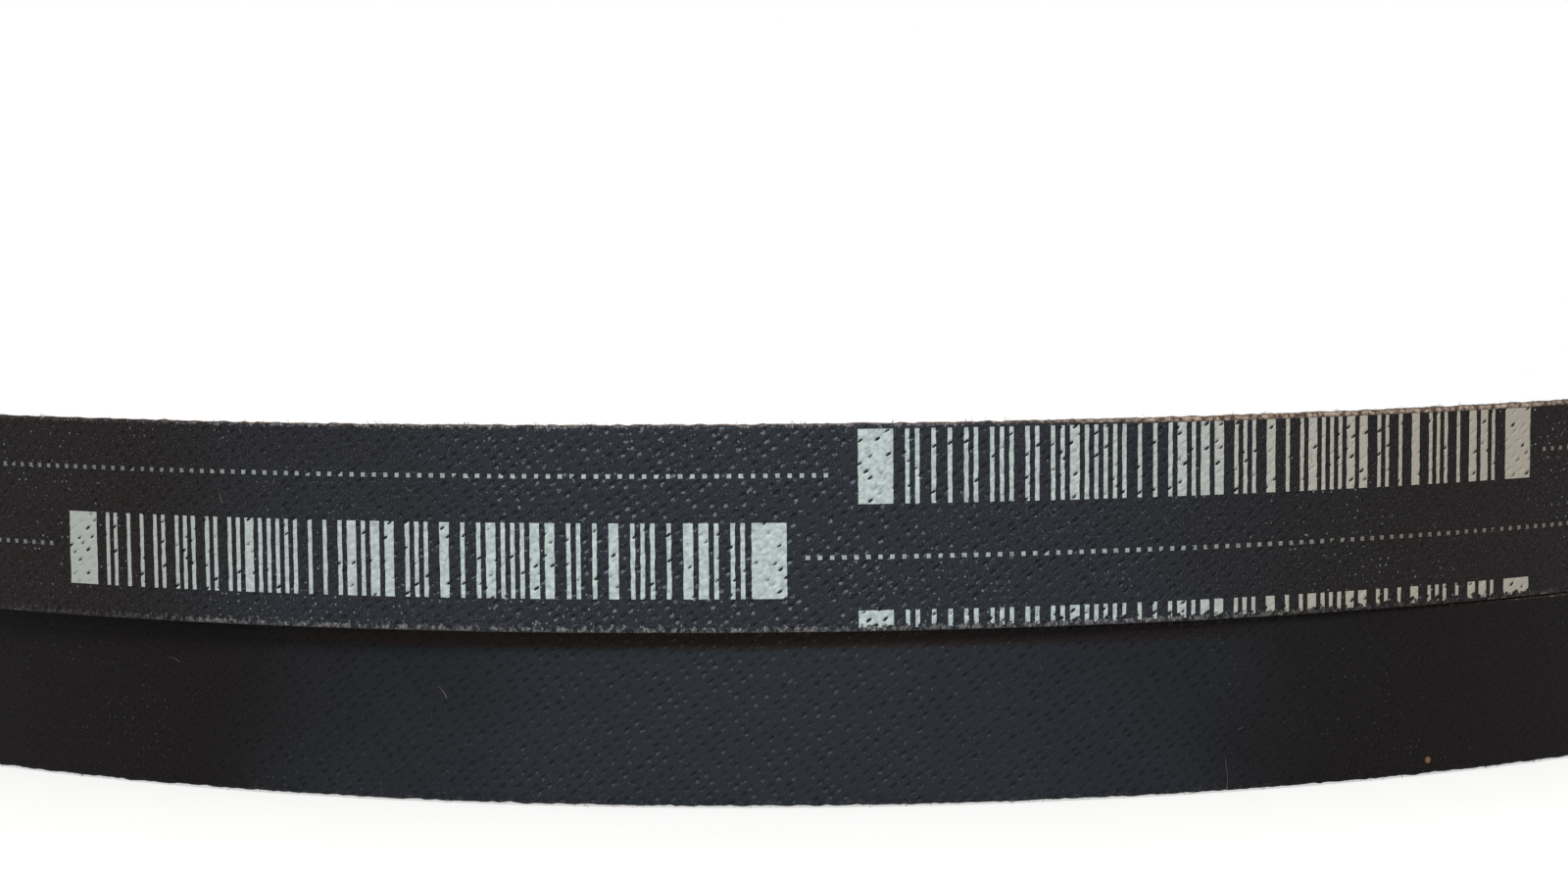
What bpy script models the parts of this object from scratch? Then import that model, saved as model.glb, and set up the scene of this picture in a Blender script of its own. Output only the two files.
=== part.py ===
# Two endless raw-edge rubber belts of V section, one lying on the other.
# Each belt is built up in plies from its back inwards: cover cloth, tension rubber, a cord ply in a
# cushion of rubber, compression rubber and base cloth.
# Each belt bends at four upright lines on its cord ply, where its plies are cut into arcs. The far arc
# is cut once more in its middle, where its two halves meet and always move as one.
# Metres, +Z up. The origin is under the middle of the pair, on the floor.

import math

import bmesh
import bpy

# Belt sizes
BACK_RADIUS = 0.135
LOWER_WIDTH = 0.0146
UPPER_WIDTH = 0.0170
FLANK_ANGLE = math.radians(20.0)

# Ply thicknesses, from the back inwards
COVER_CLOTH = 0.0008
TENSION_RUBBER = 0.0018
CORD_PLY = 0.0012
CUSHION_FLOOR = 0.0007
COMPRESSION_RUBBER = 0.0044
BASE_CLOTH = 0.0006
CORD_RIM = 0.0013

# Clearances between plies, between the two belts and at the bending lines
PLY_GAP = 0.0003
STACK_GAP = 0.0003
PIVOT_GAP = 0.0004

# How far a belt bends either way at one bending line
FLEX_LIMIT = math.radians(18.0)

# Where the upper belt lies, measured from the lower one
UPPER_OFFSET_X = -0.0032
UPPER_OFFSET_Y = -0.0020

FACET_ANGLE = math.radians(5.0)
SMOOTH_BELOW = math.radians(30.0)

# Arcs: where each starts and ends, and the bending line that hinges it to the arc that carries it
FAR_SEAM = math.radians(90.0)
ARC_ENDS = {
    "near": (math.radians(-135.0), math.radians(-45.0)),
    "right": (math.radians(-45.0), math.radians(45.0)),
    "far_right": (math.radians(45.0), FAR_SEAM),
    "far_left": (FAR_SEAM, math.radians(135.0)),
    "left": (math.radians(135.0), math.radians(225.0)),
}
ARC_HINGES = {
    "right": math.radians(-45.0),
    "far_right": math.radians(45.0),
    "far_left": math.radians(135.0),
    "left": math.radians(-135.0),
}

# Colour, roughness and metallic value of each ply
FINISHES = {
    "cover_cloth": ((0.016, 0.017, 0.020), 0.62, 0.0),
    "tension_rubber": ((0.012, 0.012, 0.013), 0.70, 0.0),
    "cord_ply": ((0.350, 0.310, 0.240), 0.75, 0.0),
    "cushion_rubber": ((0.014, 0.013, 0.013), 0.68, 0.0),
    "compression_rubber": ((0.011, 0.011, 0.012), 0.66, 0.0),
    "base_cloth": ((0.020, 0.019, 0.019), 0.78, 0.0),
}


def clear_scene():
    for thing in list(bpy.data.objects):
        bpy.data.objects.remove(thing, do_unlink=True)


def ply_depths():
    """Depth of each ply's outer and inner face below the belt's back."""
    thicknesses = {
        "cover_cloth": COVER_CLOTH,
        "tension_rubber": TENSION_RUBBER,
        "cushion_rubber": CORD_PLY + PLY_GAP + CUSHION_FLOOR,
        "compression_rubber": COMPRESSION_RUBBER,
        "base_cloth": BASE_CLOTH,
    }
    depths = {}
    start = 0.0
    for ply, thickness in thicknesses.items():
        depths[ply] = (start, start + thickness)
        start += thickness + PLY_GAP
    pocket = depths["cushion_rubber"][0]
    depths["cord_ply"] = (pocket, pocket + CORD_PLY)
    return depths


DEPTHS = ply_depths()
CORD_RADIUS = BACK_RADIUS - sum(DEPTHS["cord_ply"]) / 2


def half_width(width, depth):
    """Half the belt's width at a depth below its back: the cover cloth is cut square, the rest on the slant."""
    return width / 2 - max(0.0, depth - COVER_CLOTH) * math.tan(FLANK_ANGLE)


def slanted_profile(width, outer, inner):
    at_outer = half_width(width, outer)
    at_inner = half_width(width, inner)
    return [(outer, at_outer), (outer, -at_outer), (inner, -at_inner), (inner, at_inner)]


def cushion_profile(width, outer, inner):
    """A channel, open towards the back, with a rim on each side of the cord ply."""
    at_outer = half_width(width, outer)
    at_inner = half_width(width, inner)
    pocket = at_inner - CORD_RIM
    floor = inner - CUSHION_FLOOR
    return [
        (outer, at_outer), (outer, pocket), (floor, pocket), (floor, -pocket),
        (outer, -pocket), (outer, -at_outer), (inner, -at_inner), (inner, at_inner),
    ]


def cord_profile(width, outer, inner):
    """A flat ply that lies in the cushion's channel."""
    half = half_width(width, DEPTHS["cushion_rubber"][1]) - CORD_RIM - PLY_GAP
    return [(outer, half), (outer, -half), (inner, -half), (inner, half)]


def ply_profile(ply, width):
    outer, inner = DEPTHS[ply]
    if ply == "cord_ply":
        return cord_profile(width, outer, inner)
    if ply == "cushion_rubber":
        return cushion_profile(width, outer, inner)
    return slanted_profile(width, outer, inner)


def end_angle(end, radius):
    """Angle cut back from an arc's end: at a bending line two arcs meet only at the limit of the bend."""
    if end == FAR_SEAM:
        clearance = PLY_GAP / 2
    else:
        clearance = PIVOT_GAP / 2 + abs(radius - CORD_RADIUS) * math.tan(FLEX_LIMIT / 2)
    return math.asin(clearance / radius)


def arc_angles(start, end, radius):
    """Angles of the rings of points along one arc, for points at one radius."""
    facets = round((end - start) / FACET_ANGLE)
    inside = [start + (end - start) * index / facets for index in range(1, facets)]
    return [start + end_angle(start, radius), *inside, end - end_angle(end, radius)]


def arc_mesh(name, profile, ends, origin):
    """A profile of depths and heights swept along one arc, measured from the object's origin."""
    shape = bmesh.new()
    columns = []
    for depth, height in profile:
        radius = BACK_RADIUS - depth
        column = []
        for angle in arc_angles(*ends, radius):
            x = radius * math.cos(angle) - origin[0]
            y = radius * math.sin(angle) - origin[1]
            column.append(shape.verts.new((x, y, height)))
        columns.append(column)
    for index, column in enumerate(columns):
        following = columns[(index + 1) % len(columns)]
        for ring in range(len(column) - 1):
            shape.faces.new((column[ring], column[ring + 1], following[ring + 1], following[ring]))
    shape.faces.new([column[0] for column in columns])
    shape.faces.new([column[-1] for column in reversed(columns)])
    bmesh.ops.recalc_face_normals(shape, faces=shape.faces[:])
    mesh = bpy.data.meshes.new(name)
    shape.to_mesh(mesh)
    shape.free()
    mesh.shade_smooth()
    mesh.set_sharp_from_angle(angle=SMOOTH_BELOW)
    return mesh


def make_material(name, colour, roughness, metallic):
    material = bpy.data.materials.new(name)
    material.use_nodes = True
    shader = material.node_tree.nodes["Principled BSDF"]
    shader.inputs["Base Color"].default_value = (*colour, 1.0)
    shader.inputs["Roughness"].default_value = roughness
    shader.inputs["Metallic"].default_value = metallic
    return material


def hinge_point(arc):
    """The bending line that carries an arc, seen from above the belt's own middle."""
    if arc not in ARC_HINGES:
        return (0.0, 0.0)
    angle = ARC_HINGES[arc]
    return (CORD_RADIUS * math.cos(angle), CORD_RADIUS * math.sin(angle))


def make_belt(belt, width, middle_x, middle_y, bottom, materials):
    """All the plies of one belt, each in arcs whose origins are on their bending lines."""
    for ply in FINISHES:
        profile = ply_profile(ply, width)
        for arc, ends in ARC_ENDS.items():
            name = f"{belt}_{ply}_{arc}"
            origin = hinge_point(arc)
            piece = bpy.data.objects.new(name, arc_mesh(name, profile, ends, origin))
            piece.location = (middle_x + origin[0], middle_y + origin[1], bottom + width / 2)
            piece.data.materials.append(materials[ply])
            bpy.context.collection.objects.link(piece)


def main():
    clear_scene()
    materials = {ply: make_material(ply, *finish) for ply, finish in FINISHES.items()}
    across = UPPER_OFFSET_X / 2
    along = UPPER_OFFSET_Y / 2
    make_belt("lower", LOWER_WIDTH, -across, -along, 0.0, materials)
    make_belt("upper", UPPER_WIDTH, across, along, LOWER_WIDTH + STACK_GAP, materials)


main()
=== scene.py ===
import math
import random

import bpy
import numpy as np
from mathutils import Euler, Matrix, Vector, noise


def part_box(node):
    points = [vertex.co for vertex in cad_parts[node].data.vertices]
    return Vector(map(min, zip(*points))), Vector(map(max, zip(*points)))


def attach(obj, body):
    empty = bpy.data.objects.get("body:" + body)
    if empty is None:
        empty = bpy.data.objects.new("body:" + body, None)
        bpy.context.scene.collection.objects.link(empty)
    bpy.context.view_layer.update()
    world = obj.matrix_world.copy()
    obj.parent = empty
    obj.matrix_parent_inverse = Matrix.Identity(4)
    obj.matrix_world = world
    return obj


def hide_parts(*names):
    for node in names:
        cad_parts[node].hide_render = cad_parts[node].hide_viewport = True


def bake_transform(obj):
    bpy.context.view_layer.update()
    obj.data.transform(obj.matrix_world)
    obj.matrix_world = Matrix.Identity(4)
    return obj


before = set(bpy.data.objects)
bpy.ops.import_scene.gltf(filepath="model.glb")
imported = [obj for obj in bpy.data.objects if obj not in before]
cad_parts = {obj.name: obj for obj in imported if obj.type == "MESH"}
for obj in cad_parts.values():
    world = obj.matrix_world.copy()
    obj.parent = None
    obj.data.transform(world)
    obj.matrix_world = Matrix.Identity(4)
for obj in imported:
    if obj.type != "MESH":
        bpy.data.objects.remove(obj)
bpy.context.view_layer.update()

print("frame loaded:", len(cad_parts), "nodes")

mm = 0.001  # lengths below are in millimetres, and meshes in metres

# Every ply is dressed in the same five arcs. Angles are in degrees from the near point, positive to the
# right. The near arc rides on its body; an arc over a bend lists two bodies and a bending line, but stays
# where it stands.
arcs = {
    "near": {"from": -23, "to": 23, "bodies": ["near"]},
    "right": {"from": 23, "to": 113, "bodies": ["near", "right"], "bend": 45},
    "far_right": {"from": 113, "to": 179.999, "bodies": ["right", "far_right"], "bend": 135},
    "far_left": {"from": -179.999, "to": -113, "bodies": ["left", "far_left"], "bend": -135},
    "left": {"from": -113, "to": -23, "bodies": ["near", "left"], "bend": -45},
}
bendSpread = 22  # degrees either side of a bending line; carry works these places out but does not turn the rubber
beltDepth = 11.0
coverEdge = 0.8  # the back is cut square this deep, and the flanks slant from there
flankSlope = math.tan(math.radians(20))
sharpAngle = 42  # degrees; flatter edges than this are shaded smooth


def readBelt(belt):
    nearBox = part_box(f"{belt}_cover_cloth_near")
    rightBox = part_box(f"{belt}_cover_cloth_right")
    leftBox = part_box(f"{belt}_cover_cloth_left")
    radius = (rightBox[1].x - leftBox[0].x) / 2
    middle = Vector((rightBox[1].x - radius, nearBox[0].y + radius, (nearBox[0].z + nearBox[1].z) / 2))
    half = (nearBox[1].z - middle.z) / mm
    return {"name": belt, "radius": radius / mm, "middle": middle / mm, "half": half}


belts = {belt: readBelt(belt) for belt in ("upper", "lower")}


def halfWidth(belt, depth):
    return belt["half"] - max(0.0, depth - coverEdge) * flankSlope


# A point of a belt: how far along its back, how deep under it and how far up from its middle line
def onBelt(belt, along, depth, across):
    angle = along / belt["radius"]
    reach = belt["radius"] - depth
    x = belt["middle"].x + reach * np.sin(angle)
    y = belt["middle"].y - reach * np.cos(angle)
    z = belt["middle"].z + across
    return np.stack(np.broadcast_arrays(x, y, z), -1) * mm


# A closed strip of rings: along, depth and across are rings by points round each ring
def strip(belt, along, depth, across, around, slots=0):
    place = onBelt(belt, along, depth, across)
    u = np.broadcast_to(along, place.shape[:2])
    u = np.concatenate([u, u[:, :1]], 1)
    v = np.broadcast_to(around, u.shape)
    return {"place": place, "uv": np.stack([u, v], -1), "slots": slots}


def buildMesh(name, strips, materials):
    points, faces, uvs, slots = [], [], [], []
    count = 0
    for each in strips:
        rings, around = each["place"].shape[:2]
        index = count + np.arange(rings * around).reshape(rings, around)
        onward = np.roll(index, -1, 1)
        quads = np.stack([index[:-1], index[1:], onward[1:], onward[:-1]], -1).reshape(-1, 4)
        uv = each["uv"]
        quadUvs = np.stack([uv[:-1, :-1], uv[1:, :-1], uv[1:, 1:], uv[:-1, 1:]], 2)
        points.append(each["place"].reshape(-1, 3))
        faces += quads.tolist()
        uvs.append(quadUvs.reshape(-1, 2))
        faceSlots = np.broadcast_to(each["slots"], (rings - 1, around)).reshape(-1)
        slots += faceSlots.tolist()
        for ring, order in ((0, 1), (-1, -1)):  # both ends are shut
            faces.append(index[ring, ::order].tolist())
            uvs.append(uv[ring, :-1][::order])
            slots.append(int(faceSlots[0]))
        count += rings * around
    mesh = bpy.data.meshes.new(name)
    mesh.from_pydata(np.concatenate(points).tolist(), [], faces)
    layer = mesh.uv_layers.new(name="beltMm")
    layer.data.foreach_set("uv", np.concatenate(uvs).astype(np.float32).ravel())
    for material in materials:
        mesh.materials.append(material)
    mesh.polygons.foreach_set("material_index", slots)
    mesh.shade_smooth()
    mesh.set_sharp_from_angle(angle=math.radians(sharpAngle))
    mesh.update()
    piece = bpy.data.objects.new(name, mesh)
    bpy.context.scene.collection.objects.link(piece)
    return piece


# The piece rides on its body, if it has only one; a piece over a bend is left fixed where it stands
def carry(piece, belt, arc, ply):
    bodies = [f"{belt['name']}_{body}" for body in arcs[arc]["bodies"]]
    if len(bodies) == 1:
        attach(piece, bodies[0])
    else:
        bend = arcs[arc]["bend"]
        spread = math.copysign(bendSpread, bend)
        for side in (-1, 1):
            along = math.radians(bend + side * spread) * belt["radius"]
            onBelt(belt, along, beltDepth, 0.0)
        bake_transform(piece)
    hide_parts(f"{belt['name']}_{ply}_{arc}")
    return piece


def arcEnds(belt, arc):
    return [math.radians(arcs[arc][end]) * belt["radius"] for end in ("from", "to")]


# Materials
def toLinear(hexColour):
    channels = [int(hexColour[start:start + 2], 16) / 255 for start in (1, 3, 5)]
    return [c / 12.92 if c <= 0.04045 else ((c + 0.055) / 1.055) ** 2.4 for c in channels] + [1.0]


# Adds a node. inputs gives an input, by name or number, a value or the socket that feeds it, and a pair of
# inputs takes a pair. The other keys are the node's own settings.
def addNode(material, kind, inputs=None, **settings):
    tree = material.node_tree
    node = tree.nodes.new("ShaderNode" + kind)
    for key, value in settings.items():
        setattr(node, key, value)
    for key, value in (inputs or {}).items():
        for place, given in zip(key, value) if isinstance(key, tuple) else [(key, value)]:
            if isinstance(given, bpy.types.NodeSocket):
                tree.links.new(given, node.inputs[place])
            else:
                node.inputs[place].default_value = given
    return node


def newMaterial(name):
    material = bpy.data.materials.new(name)
    material.use_nodes = True
    return material, material.node_tree.nodes["Principled BSDF"]


# Cover cloth: cotton and polyester twill, frictioned with black chloroprene and cured under a wrap.
# It gives a matt face with slanting rows of pits between the yarns, pale specks in places, partly dust and
# partly painted glints, and bare threads where the edge was cut. A painted sheen makes it lighter and
# blue-black towards the middle of each printed stretch, and browner and darker between; the pits' lower lips
# carry painted glints, and the lower belt a painted shadow under the belt above.
# half is half the cloth's width, and the pair after the colours says where the brown gives way to the
# painted blue-black sheen. The other numbers say how deep the pits are and how much shows of the pale
# specks, the painted glints, the fray and the painted shadow.
twillLook = {
    "upper": {"half": 8.5, "pitDepth": 0.085, "dustAndGlints": 1.0, "glints": 0.42, "fray": 1.0,
              "cut": "#8a7565", "lowCut": "#777573", "black": "#26292f", "brown": "#1c1817",
              "paintedSheen": (0.1, 1.6), "paintedShadow": 0.0},
    # the lower belt's cut edges are painted dark; along its upper edge, under the belt above, that is
    # painted shade
    "lower": {"half": 7.3, "pitDepth": 0.028, "dustAndGlints": 0.2, "glints": 0.14, "fray": 0.15,
              "cut": "#211c1a", "lowCut": "#211c1a", "black": "#262a30", "brown": "#100c0b",
              "paintedSheen": (0.35, 1.75), "paintedShadow": 0.9},
    # base cloth, all of it far from an edge that shows
    "base": {"half": 99.0, "pitDepth": 0.060, "dustAndGlints": 0.2, "glints": 0.12, "fray": 0.0,
             "cut": "#211c1a", "lowCut": "#211c1a", "black": "#26282c", "brown": "#1c1918",
             "paintedSheen": (0.1, 1.6), "paintedShadow": 0.0},
}
# What all the cloths share. A pair of numbers is where something begins and where it is complete.
twillCloth = {
    "rib": math.radians(36),  # slant of the twill
    "pit": (1.15, 0.76, 1.0),  # spacing of the pits along and across the slant
    "pitStray": 0.42,  # how far the pits stray from even rows
    "pitOval": (1.0, 1.55, 0.0),
    "pitFloor": (0.10, 0.46),  # from a pit's floor to its rim, in spacings
    "pitShallow": 0.3,  # the shallowest pit against the deepest
    "pitShade": "#a0a0a0",
    "thread": (0.9, 0.17, 1.0),
    "threadHeight": 0.025,
    "grain": 0.2,  # the real grain is too fine to show, so it is drawn coarser
    "grainHeight": 0.035,
    "grainReach": (0.2, 0.8),
    "rough": (0.5, 0.72),
    "specular": 0.10,
    "printRepeat": 169.65,
    "sheenPatch": 30.0,
    "sheenShift": 1.4,  # how far patches move the painted sheen
    "paintedShadowBand": (1.15, 1.75),  # from the upper edge
    "paintedShadowSheen": (0.05, 0.4),
    "paintedShadowDeepens": (0.15, 0.75),  # where in a repeat, as a sine
    "paintedShadowColours": ("#281f1b", "#16110f"),
    "dustGlintCell": 0.6,  # real specks are finer, and drawn as coarse as shows
    "dustGlintSpeck": 0.16,  # the largest speck, in cells
    "dustGlintRare": 0.55,  # share of the cells without a speck
    "dustGlintPatch": 14.0,
    "dustGlintShows": (0.42, 0.66),
    "dustGlintMost": 0.6,
    "dustGlintColour": "#8f9598",
    "glintPlace": (-0.14, -0.24, 0.0),  # from the middle of a pit, in spacings
    "glintReach": (0.05, 0.30),
    "glintMost": 0.55,
    "glintSheen": (0.45, 1.0),
    "glintShows": (0.58, 1.1),
    "glintColour": "#9aa5af",
    "glintCentre": 0.22,  # where in a repeat the painted glints are brightest, in radians
    "glintFalloff": (0.6, 0.95),
    "glintLeast": 0.45,
    "crumb": 0.16,
    "frayTuft": 0.45,
    "frayBand": 0.8,  # width of the fray along the upper edge, and how thick it is there
    "frayThick": 0.36,
    "lowFrayBand": 0.95,  # the same along the lower edge
    "lowFrayThick": 0.4,
    "frayShows": (0.74, 1.0),
    "frayMost": 0.85,
    "fraySheen": 0.5,  # full fray from this much painted sheen on, and a painted shade makes it fainter below that
    "frayLeast": 0.2,
    "frayFlock": (0.3, 0.7),
    "frayColours": ("#3b3a39", "#989797"),
    "frayHeight": 0.08,
    "baredFrom": 0.4,  # where in a repeat the tan yarn begins to show, in radians
    "baredShows": (0.2, 0.8),
    "rimWidth": 0.06,
    "rimWidens": 0.32,
    "rimSoft": (-0.08, 0.06),
    "tanMottle": (0.35, 0.65),
    "tanColours": ("#4a3d35", "#b5a08e"),
    "cutBand": (0.12, -0.05),
    "cutDark": "#1e1917",
    "spot": (55.9, -6.1, 0.0),  # a speck of old resin on the lower belt
    "spotEdge": (0.34, 0.2),
    "spotMost": 0.85,
    "spotColour": "#8a684b",
}
# Print: pale ink, wiped over the cloth through a screen. It lies flat and chalky, bridges shallow pits and
# leaves deep ones bare. Along the lower cut the yarn has shed it.
inkLook = {
    "ink": "#c3cfcd",
    "thin": "#9ba8a7",
    "cool": "#a7aca8",  # ink painted darker, with the painted shade, to the left and to the right of a printed stretch; cool to the left, warm to the right
    "warm": "#a9a396",
    "shadedInkSides": (-0.5, 0.5),
    "bars": 1.0,  # how thickly the bars and the dots are inked
    "dots": 0.8,
    "voids": 1.03,  # deeper hollows than this stay bare
    "voidSoft": 0.05,
    "voidGrain": 0.25,
    "voidThread": 0.4,
    "shedBand": (0.3, 1.1),
    "shedMost": 1.5,
    "blot": 0.5,
    "blotShows": (0.3, 0.75),
}


# inked is how much ink lies on the cloth: none, or thinly in the dotted lines, or in full in the bars
def twillMaterial(name, look, inked=0.0):
    material, shader = newMaterial(name)
    cloth = twillCloth
    uv = addNode(material, "UVMap", uv_map="beltMm").outputs["UV"]
    parts = addNode(material, "SeparateXYZ", {0: uv})
    along, across = parts.outputs["X"], parts.outputs["Y"]

    # pits between the yarns, each a slanting oval of its own depth
    turned = addNode(material, "Mapping", vector_type="TEXTURE", inputs={
        "Vector": uv, "Rotation": (0, 0, cloth["rib"]), "Scale": cloth["pit"]}).outputs[0]
    cells = addNode(material, "TexVoronoi", voronoi_dimensions="2D", inputs={
        "Vector": turned, "Scale": 1.0, "Randomness": cloth["pitStray"]})
    away = addNode(material, "VectorMath", {0: turned, 1: cells.outputs["Position"]},
                   operation="SUBTRACT").outputs[0]
    oval = addNode(material, "VectorMath", {0: away, 1: cloth["pitOval"]}, operation="MULTIPLY").outputs[0]
    reach = addNode(material, "VectorMath", {0: oval}, operation="LENGTH").outputs["Value"]
    hollow = addNode(material, "MapRange", interpolation_type="SMOOTHSTEP", inputs={
        0: reach, (1, 2): cloth["pitFloor"], 3: 1.0, 4: 0.0}).outputs[0]
    own = addNode(material, "SeparateColor", {0: cells.outputs["Color"]})
    ownDepth = addNode(material, "MapRange", {0: own.outputs[0], 3: cloth["pitShallow"], 4: 1.0}).outputs[0]
    pit = addNode(material, "Math", {0: hollow, 1: ownDepth}, operation="MULTIPLY").outputs[0]

    # threads run with the slant, and fine grain is the skin of rubber on them
    threadPlace = addNode(material, "Mapping", vector_type="TEXTURE", inputs={
        "Vector": uv, "Rotation": (0, 0, cloth["rib"]), "Scale": cloth["thread"]}).outputs[0]
    thread = addNode(material, "TexNoise", noise_dimensions="2D", inputs={
        "Vector": threadPlace, "Scale": 1.0, "Detail": 2.0}).outputs[0]
    grain = addNode(material, "TexNoise", noise_dimensions="2D", inputs={
        "Vector": uv, "Scale": 1 / cloth["grain"], "Detail": 3.0}).outputs[0]

    # height in millimetres: pits down, threads and grain up
    height = addNode(material, "Math", {0: pit, 1: -look["pitDepth"]}, operation="MULTIPLY").outputs[0]
    height = addNode(material, "Math", {0: thread, 1: cloth["threadHeight"], 2: height},
                     operation="MULTIPLY_ADD").outputs[0]
    height = addNode(material, "Math", {0: grain, 1: cloth["grainHeight"], 2: height},
                     operation="MULTIPLY_ADD").outputs[0]

    # painted sheen: lighter and blue-black on the printed stretches, browner and darker between them
    turn = addNode(material, "Math", {0: along, 1: 2 * math.pi / cloth["printRepeat"]},
                   operation="MULTIPLY").outputs[0]
    swing = addNode(material, "Math", {0: turn}, operation="SINE").outputs[0]
    wave = addNode(material, "Math", {0: turn}, operation="COSINE").outputs[0]
    patch = addNode(material, "TexNoise", noise_dimensions="2D", inputs={
        "Vector": uv, "Scale": 1 / cloth["sheenPatch"], "Detail": 2.0}).outputs[0]
    paintedSheen = addNode(material, "Math", {0: patch, 1: cloth["sheenShift"], 2: wave},
                    operation="MULTIPLY_ADD").outputs[0]
    paintedSheen = addNode(material, "MapRange", {0: paintedSheen, (1, 2): look["paintedSheen"]},
                    interpolation_type="SMOOTHSTEP").outputs[0]
    fromTop = addNode(material, "Math", {0: look["half"], 1: across}, operation="SUBTRACT").outputs[0]
    fromLow = addNode(material, "Math", {0: look["half"], 1: across}, operation="ADD").outputs[0]
    fromEdge = addNode(material, "Math", {0: fromTop, 1: fromLow}, operation="MINIMUM").outputs[0]
    colour = addNode(material, "Mix", data_type="RGBA", inputs={
        0: paintedSheen, 6: toLinear(look["brown"]), 7: toLinear(look["black"])}).outputs[2]

    # painted shadow along the upper edge, under the belt that lies on it, darker to the right of a repeat;
    # after it the pits are painted darker
    paintedShadow = addNode(material, "MapRange", interpolation_type="SMOOTHSTEP", inputs={
        0: fromTop, (1, 2): cloth["paintedShadowBand"], 3: look["paintedShadow"], 4: 0.0}).outputs[0]
    shadowInSheen = addNode(material, "MapRange", {0: paintedSheen, (1, 2): cloth["paintedShadowSheen"]}).outputs[0]
    paintedShadow = addNode(material, "Math", {0: paintedShadow, 1: shadowInSheen}, operation="MULTIPLY").outputs[0]
    deeper = addNode(material, "MapRange", {0: swing, (1, 2): cloth["paintedShadowDeepens"]}).outputs[0]
    paintedShadowColour = addNode(material, "Mix", data_type="RGBA", inputs={
        0: deeper, (6, 7): map(toLinear, cloth["paintedShadowColours"])}).outputs[2]
    colour = addNode(material, "Mix", {0: paintedShadow, 6: colour, 7: paintedShadowColour}, data_type="RGBA").outputs[2]
    colour = addNode(material, "Mix", data_type="RGBA", blend_type="MULTIPLY", inputs={
        0: pit, 6: colour, 7: toLinear(cloth["pitShade"])}).outputs[2]

    # pale specks on the high spots, in patches: partly dust, partly painted glints on the grain
    specks = addNode(material, "TexVoronoi", voronoi_dimensions="2D", inputs={
        "Vector": uv, "Scale": 1 / cloth["dustGlintCell"], "Randomness": 1.0})
    speckOwn = addNode(material, "SeparateColor", {0: specks.outputs["Color"]}).outputs[1]
    speckSize = addNode(material, "MapRange", {
        0: speckOwn, 1: cloth["dustGlintRare"], 2: 1.0, 3: 0.0, 4: cloth["dustGlintSpeck"]}).outputs[0]
    speck = addNode(material, "Math", {0: specks.outputs["Distance"], 1: speckSize},
                    operation="LESS_THAN").outputs[0]
    patchyDustGlint = addNode(material, "TexNoise", noise_dimensions="2D", inputs={
        "Vector": uv, "Scale": 1 / cloth["dustGlintPatch"], "Detail": 3.0}).outputs[0]
    patchyDustGlint = addNode(material, "MapRange", interpolation_type="SMOOTHSTEP", inputs={
        0: patchyDustGlint, (1, 2): cloth["dustGlintShows"], 3: 0.0, 4: cloth["dustGlintMost"] * look["dustAndGlints"]}).outputs[0]
    dustAndGlints = addNode(material, "Math", {0: speck, 1: patchyDustGlint}, operation="MULTIPLY").outputs[0]
    colour = addNode(material, "Mix", {0: dustAndGlints, 6: colour, 7: toLinear(cloth["dustGlintColour"])},
                     data_type="RGBA").outputs[2]

    # painted glints: the lower lip of a pit, which faces the softbox above, is painted pale, more on some
    # pits than on others, most where the painted sheen is and towards the middle of a repeat
    below = addNode(material, "VectorMath", {0: away, 1: cloth["glintPlace"]}, operation="SUBTRACT").outputs[0]
    glint = addNode(material, "VectorMath", {0: below}, operation="LENGTH").outputs["Value"]
    glint = addNode(material, "MapRange", interpolation_type="SMOOTHSTEP", inputs={
        0: glint, (1, 2): cloth["glintReach"], 3: cloth["glintMost"], 4: 0.0}).outputs[0]
    glintShare = addNode(material, "Math", {0: own.outputs[1], 1: glint}, operation="MULTIPLY").outputs[0]
    glintBySheen = addNode(material, "MapRange", {0: paintedSheen, (1, 2): cloth["glintSheen"]}).outputs[0]
    glintShare = addNode(material, "Math", {0: glintShare, 1: glintBySheen}, operation="MULTIPLY").outputs[0]
    glintFacing = addNode(material, "Math", {0: turn, 1: cloth["glintCentre"]}, operation="ADD").outputs[0]
    glintFacing = addNode(material, "Math", {0: glintFacing}, operation="COSINE").outputs[0]
    glintFacing = addNode(material, "MapRange", {
        0: glintFacing, (1, 2): cloth["glintFalloff"], 3: cloth["glintLeast"], 4: 1.0}).outputs[0]
    glintShare = addNode(material, "Math", {0: glintShare, 1: glintFacing}, operation="MULTIPLY").outputs[0]
    crumb = addNode(material, "TexNoise", noise_dimensions="2D", inputs={
        "Vector": uv, "Scale": 1 / cloth["crumb"], "Detail": 1.0}).outputs[0]
    glint = addNode(material, "Math", {0: glintShare, 1: crumb}, operation="ADD").outputs[0]
    glint = addNode(material, "MapRange", interpolation_type="SMOOTHSTEP", inputs={
        0: glint, (1, 2): cloth["glintShows"], 3: 0.0, 4: look["glints"]}).outputs[0]
    colour = addNode(material, "Mix", {0: glint, 6: colour, 7: toLinear(cloth["glintColour"])},
                     data_type="RGBA").outputs[2]

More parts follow.
